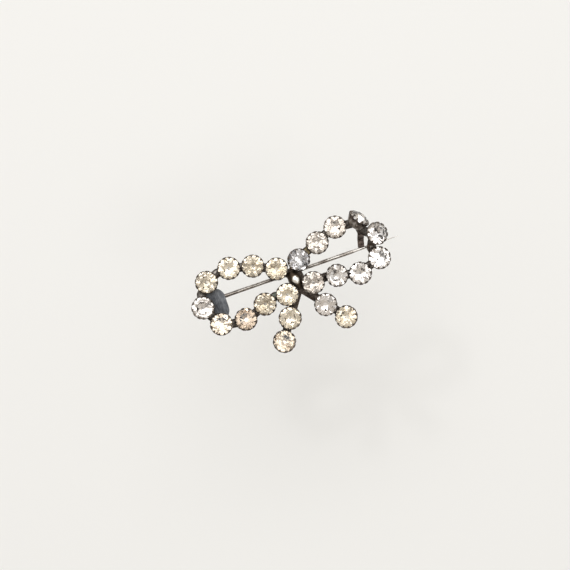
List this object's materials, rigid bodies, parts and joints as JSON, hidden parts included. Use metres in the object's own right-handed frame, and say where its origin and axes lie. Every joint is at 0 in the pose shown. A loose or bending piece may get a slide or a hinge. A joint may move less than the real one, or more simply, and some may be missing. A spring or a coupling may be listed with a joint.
{
  "type": "brooch",
  "caption": "Bow-shaped brooch of round paste stones in toothed cup settings on flat back strips, with a hinged pin and an open catch.",
  "frame": {"origin": "middle of the bounding box's bottom face, on the surface that the brooch lies on, front up", "axes": "+X along the pin from the hinge to its point, +Y towards the top of the bow, +Z out of the front, the way the stones face"},
  "size_m": [0.037, 0.0192, 0.0067],
  "materials": {
    "paste_stone": "polished facets over a foiled back",
    "setting_metal": "silvered, tarnished dark in the hollows",
    "strip_metal": "silvered, heavily tarnished",
    "knot_metal": "tarnished, worn bright on top",
    "hinge_metal": "brushed and dulled",
    "catch_metal": "dulled, worn where the pin lies",
    "pin_steel": "drawn wire, worn bright"
  },
  "bodies": {
    "brooch": {"setting_left_1": "setting_metal", "setting_left_2": "setting_metal", "setting_left_3": "setting_metal", "setting_left_4": "setting_metal", "setting_left_5": "setting_metal", "setting_left_6": "setting_metal", "setting_left_7": "setting_metal", "setting_left_8": "setting_metal", "setting_left_9": "setting_metal", "setting_right_1": "setting_metal", "setting_right_2": "setting_metal", "setting_right_3": "setting_metal", "setting_right_4": "setting_metal", "setting_right_5": "setting_metal", "setting_right_6": "setting_metal", "setting_right_7": "setting_metal", "setting_right_8": "setting_metal", "setting_right_9": "setting_metal", "setting_left_tail_1": "setting_metal", "setting_left_tail_2": "setting_metal", "setting_right_tail_1": "setting_metal", "setting_right_tail_2": "setting_metal", "stone_left_1": "paste_stone", "stone_left_2": "paste_stone", "stone_left_3": "paste_stone", "stone_left_4": "paste_stone", "stone_left_5": "paste_stone", "stone_left_6": "paste_stone", "stone_left_7": "paste_stone", "stone_left_8": "paste_stone", "stone_left_9": "paste_stone", "stone_right_1": "paste_stone", "stone_right_2": "paste_stone", "stone_right_3": "paste_stone", "stone_right_4": "paste_stone", "stone_right_5": "paste_stone", "stone_right_6": "paste_stone", "stone_right_7": "paste_stone", "stone_right_8": "paste_stone", "stone_right_9": "paste_stone", "stone_left_tail_1": "paste_stone", "stone_left_tail_2": "paste_stone", "stone_right_tail_1": "paste_stone", "stone_right_tail_2": "paste_stone", "left_loop_strip": "strip_metal", "right_loop_strip": "strip_metal", "left_tail_strip": "strip_metal", "right_tail_strip": "strip_metal", "centre_plate": "strip_metal", "knot": "knot_metal", "hinge_plate": "hinge_metal", "hinge_ear_upper": "hinge_metal", "hinge_ear_lower": "hinge_metal", "hinge_rivet": "pin_steel", "catch_hook": "catch_metal"},
    "pin": {"pin_stem": "pin_steel"}
  },
  "joints": [
    {"name": "pin_swing", "type": "hinge", "parent": "brooch", "child": "pin", "pos_m": [-0.01472, 0.00282, 0.00115], "axis": [0, 0.9135, -0.4067], "range_deg": [0, 80]}
  ]
}
